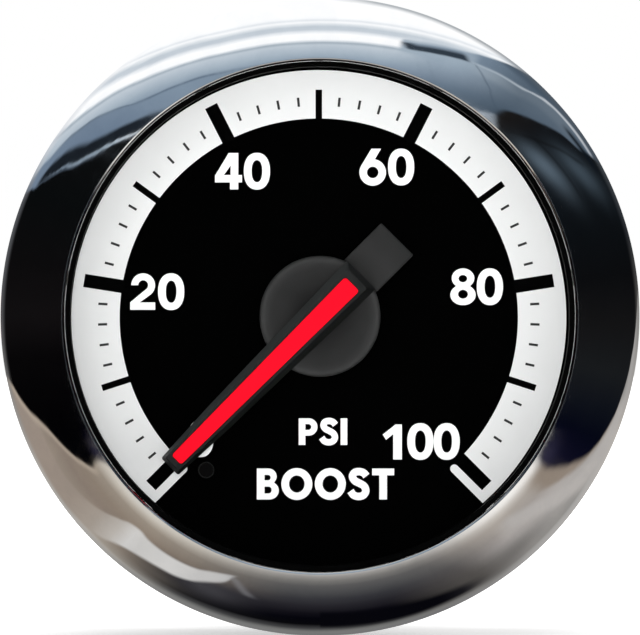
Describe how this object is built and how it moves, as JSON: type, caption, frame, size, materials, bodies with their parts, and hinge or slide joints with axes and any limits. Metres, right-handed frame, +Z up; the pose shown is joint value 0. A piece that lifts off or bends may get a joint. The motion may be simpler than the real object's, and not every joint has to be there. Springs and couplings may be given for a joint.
{
  "type": "boost gauge",
  "caption": "Round panel-mounted boost gauge with a chromed bezel, a full-sweep pointer, a stepper movement, a rear socket and a U-clamp.",
  "frame": {"origin": "on the gauge axis, at the rear face of the bezel that seats on the panel", "axes": "+Y is the gauge axis, pointing rearward into the panel hole; the dial faces -Y; +Z is up, towards the dial's 50 mark; +X is to the right as the dial is read"},
  "size_m": [0.06, 0.0522, 0.06],
  "materials": {
    "case_plastic": "fine spark-eroded black moulding",
    "bezel_chrome": "mirror chrome plating",
    "seal_rubber": "matte black rubber",
    "lens_glass": "clear flat glass",
    "trim_plastic": "matte black moulding",
    "dial_face": "matte black screen print with a light grey scale",
    "warning_window": "smoked translucent window",
    "clear_plastic": "clear moulded light guide",
    "white_plastic": "white reflector moulding",
    "board": "green solder mask",
    "led_white": "white package with phosphor",
    "led_red": "clear red package",
    "led_amber": "clear amber package",
    "chip_plastic": "black moulded package",
    "capacitor_can": "drawn can",
    "crystal_can": "satin can",
    "screw_steel": "zinc plated",
    "connector_plastic": "black moulding",
    "pin_brass": "gold-flashed pins",
    "motor_plastic": "dark grey moulding",
    "stator_steel": "stamped steel sheet",
    "bobbin_plastic": "black moulding",
    "coil_wire": "enamelled copper wire",
    "terminal_tin": "tinned pins",
    "axle_steel": "ground steel",
    "stud_steel": "zinc-plated thread",
    "pointer_black": "satin black moulding",
    "pointer_red": "bright red translucent insert",
    "hub_grey": "dark grey moulding",
    "weight_grey": "dark grey painted weight",
    "gear_plastic": "natural acetal",
    "magnet": "sintered ferrite",
    "clamp_steel": "bright zinc plate",
    "washer_steel": "spring steel, zinc plated",
    "nut_brass": "turned and knurled brass"
  },
  "bodies": {
    "case": {"case": "case_plastic", "bezel": "bezel_chrome", "lens_gasket": "seal_rubber", "lens": "lens_glass", "trim_ring": "trim_plastic", "dial": "dial_face", "warning_lens": "warning_window", "light_guide": "clear_plastic", "light_box": "white_plastic", "circuit_board": "board", "dial_leds": "led_white", "pointer_leds": "led_red", "warning_led": "led_amber", "microcontroller": "chip_plastic", "voltage_regulator": "chip_plastic", "capacitors": "capacitor_can", "crystal": "crystal_can", "chip_resistors": "chip_plastic", "board_screws": "screw_steel", "connector_housing": "connector_plastic", "connector_pins": "pin_brass", "connector_gasket": "seal_rubber", "motor_front_cover": "motor_plastic", "motor_rear_housing": "motor_plastic", "motor_stator": "stator_steel", "coil_bobbins": "bobbin_plastic", "motor_coils": "coil_wire", "motor_terminals": "terminal_tin", "idler_axle": "axle_steel", "rotor_axle": "axle_steel", "mounting_studs": "stud_steel"},
    "needle": {"pointer_arm": "pointer_black", "pointer_stripe": "pointer_red", "hub_cap": "hub_grey", "counterweight": "weight_grey", "pointer_stem": "white_plastic", "output_shaft": "axle_steel", "output_gear": "gear_plastic"},
    "idler": {"idler_gear": "gear_plastic"},
    "rotor": {"rotor_magnet": "magnet", "rotor_pinion": "gear_plastic"},
    "clamp": {"u_clamp": "clamp_steel", "lock_washers": "washer_steel"},
    "nut_left": {"nut_left": "nut_brass"},
    "nut_right": {"nut_right": "nut_brass"}
  },
  "joints": [
    {"name": "pointer_turn", "type": "hinge", "parent": "case", "child": "needle", "pos_m": [0, 0, 0], "axis": [0, 1, 0], "range_deg": [0, 270]},
    {"name": "idler_turn", "type": "hinge", "parent": "case", "child": "idler", "pos_m": [0.0072, 0.0134, 0.0054], "axis": [0, 1, 0], "range_deg": [-1080, 0]},
    {"name": "rotor_turn", "type": "hinge", "parent": "case", "child": "rotor", "pos_m": [0, 0.015, 0.0108], "axis": [0, 1, 0], "range_deg": [0, 4320]},
    {"name": "clamp_slide", "type": "slide", "parent": "case", "child": "clamp", "axis": [0, 1, 0], "range_m": [-0.0014, 0.0056]},
    {"name": "nut_left_turn", "type": "hinge", "parent": "clamp", "child": "nut_left", "pos_m": [-0.012, 0.038, 0], "axis": [0, 1, 0], "range_deg": [-720, 2880]},
    {"name": "nut_right_turn", "type": "hinge", "parent": "clamp", "child": "nut_right", "pos_m": [0.012, 0.038, 0], "axis": [0, 1, 0], "range_deg": [-720, 2880]}
  ],
  "couplings": [
    {"joint": "idler_turn", "follows": "pointer_turn", "ratio": -4},
    {"joint": "rotor_turn", "follows": "pointer_turn", "ratio": 16},
    {"joint": "nut_left_turn", "follows": "clamp_slide", "rad_per_m": 8976},
    {"joint": "nut_right_turn", "follows": "clamp_slide", "rad_per_m": 8976}
  ]
}
